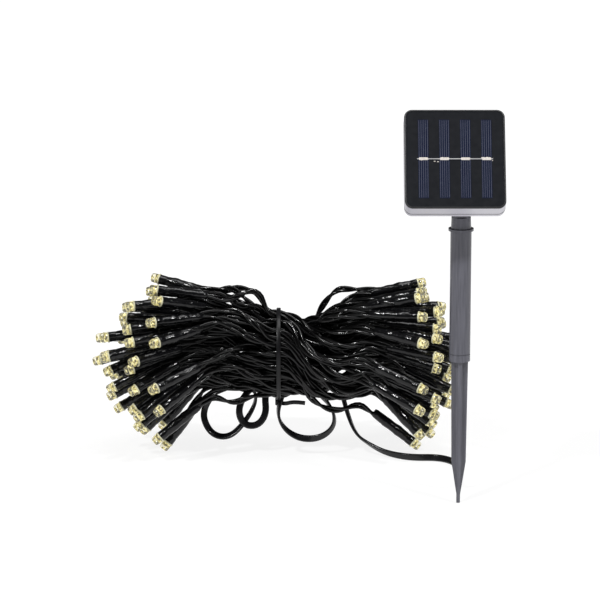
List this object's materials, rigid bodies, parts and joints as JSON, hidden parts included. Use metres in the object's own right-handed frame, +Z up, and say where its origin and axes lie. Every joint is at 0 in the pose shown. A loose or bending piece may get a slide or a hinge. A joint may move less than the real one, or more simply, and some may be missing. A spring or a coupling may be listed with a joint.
{
  "type": "solar string lights",
  "caption": "Solar string lights: tilting square solar panel on a ground stake, its lead, and a tied hank of sleeved wide-angle lamps.",
  "frame": {"origin": "tip of the ground spike, on the stake's axis, where it enters the soil", "axes": "+Z up along the stake, -Y the way the solar face looks, +X to the right seen from the front"},
  "size_m": [0.2643, 0.2082, 0.2516],
  "materials": {
    "housing_plastic": "translucent frosted grey moulding with a faint lavender tint",
    "gasket_rubber": "soft black foam rubber",
    "solar_face": "clear resin over near-black backing",
    "solar_cell": "dark blue silicon strips with fine pale finger lines",
    "tinned_ribbon": "tinned copper ribbon",
    "solder": "bright uneven solder",
    "board_laminate": "green solder mask",
    "board_component": "moulded black",
    "cell_wrap": "printed shrink wrap without text",
    "spring_steel": "plated spring steel",
    "screw_steel": "zinc plated",
    "stake_plastic": "satin grey moulding with faint mould streaks",
    "gland_rubber": "black elastomer",
    "button_rubber": "soft touch black rubber",
    "wire_insulation": "glossy black wire jacket",
    "tie_nylon": "black nylon strap",
    "lamp_lens": "clear water-white epoxy with a warm glow",
    "shrink_sleeve": "glossy lumpy heat-shrink tube",
    "lamp_frame": "plated lead frame with phosphor dot"
  },
  "bodies": {
    "pole": {"pole_tube": "stake_plastic", "pole_neck": "stake_plastic", "string_hank": "wire_insulation", "cable_tie": "tie_nylon", "lead_loops": "wire_insulation", "lead_floor": "wire_insulation", "lead_drop": "wire_insulation", "led_lenses_left": "lamp_lens", "led_lenses_right": "lamp_lens", "led_sleeves_left": "shrink_sleeve", "led_sleeves_right": "shrink_sleeve", "led_frames_left": "lamp_frame", "led_frames_right": "lamp_frame"},
    "panel": {"front_shell": "housing_plastic", "rear_cover": "housing_plastic", "housing_gasket": "gasket_rubber", "solar_laminate": "solar_face", "solar_cells": "solar_cell", "tabbing_ribbon": "tinned_ribbon", "solder_pads": "solder", "circuit_board": "board_laminate", "board_parts": "board_component", "tact_switches": "board_component", "battery": "cell_wrap", "battery_cradle": "housing_plastic", "battery_contact": "spring_steel", "battery_spring": "spring_steel", "housing_screws": "screw_steel", "hinge_bracket": "stake_plastic", "bracket_screws": "screw_steel", "hinge_bolt": "screw_steel", "hinge_knob": "stake_plastic", "cable_gland": "gland_rubber"},
    "power_button": {"power_button": "button_rubber"},
    "mode_button": {"mode_button": "button_rubber"},
    "spike": {"ground_spike": "stake_plastic"}
  },
  "joints": [
    {"name": "panel_tilt", "type": "hinge", "parent": "pole", "child": "panel", "pos_m": [0, 0, 0.1933], "axis": [1, 0, 0], "range_deg": [-50, 25], "deforming": ["lead_drop"]},
    {"name": "power_button_press", "type": "slide", "parent": "panel", "child": "power_button", "axis": [0, -0.866, 0.5], "range_m": [0, 0.001], "stiffness_N_per_m": 1500, "springref_m": -0.0005},
    {"name": "mode_button_press", "type": "slide", "parent": "panel", "child": "mode_button", "axis": [0, -0.866, 0.5], "range_m": [0, 0.001], "stiffness_N_per_m": 1500, "springref_m": -0.0005},
    {"name": "spike_pull", "type": "slide", "parent": "pole", "child": "spike", "axis": [0, 0, -1], "range_m": [0, 0.028]}
  ]
}
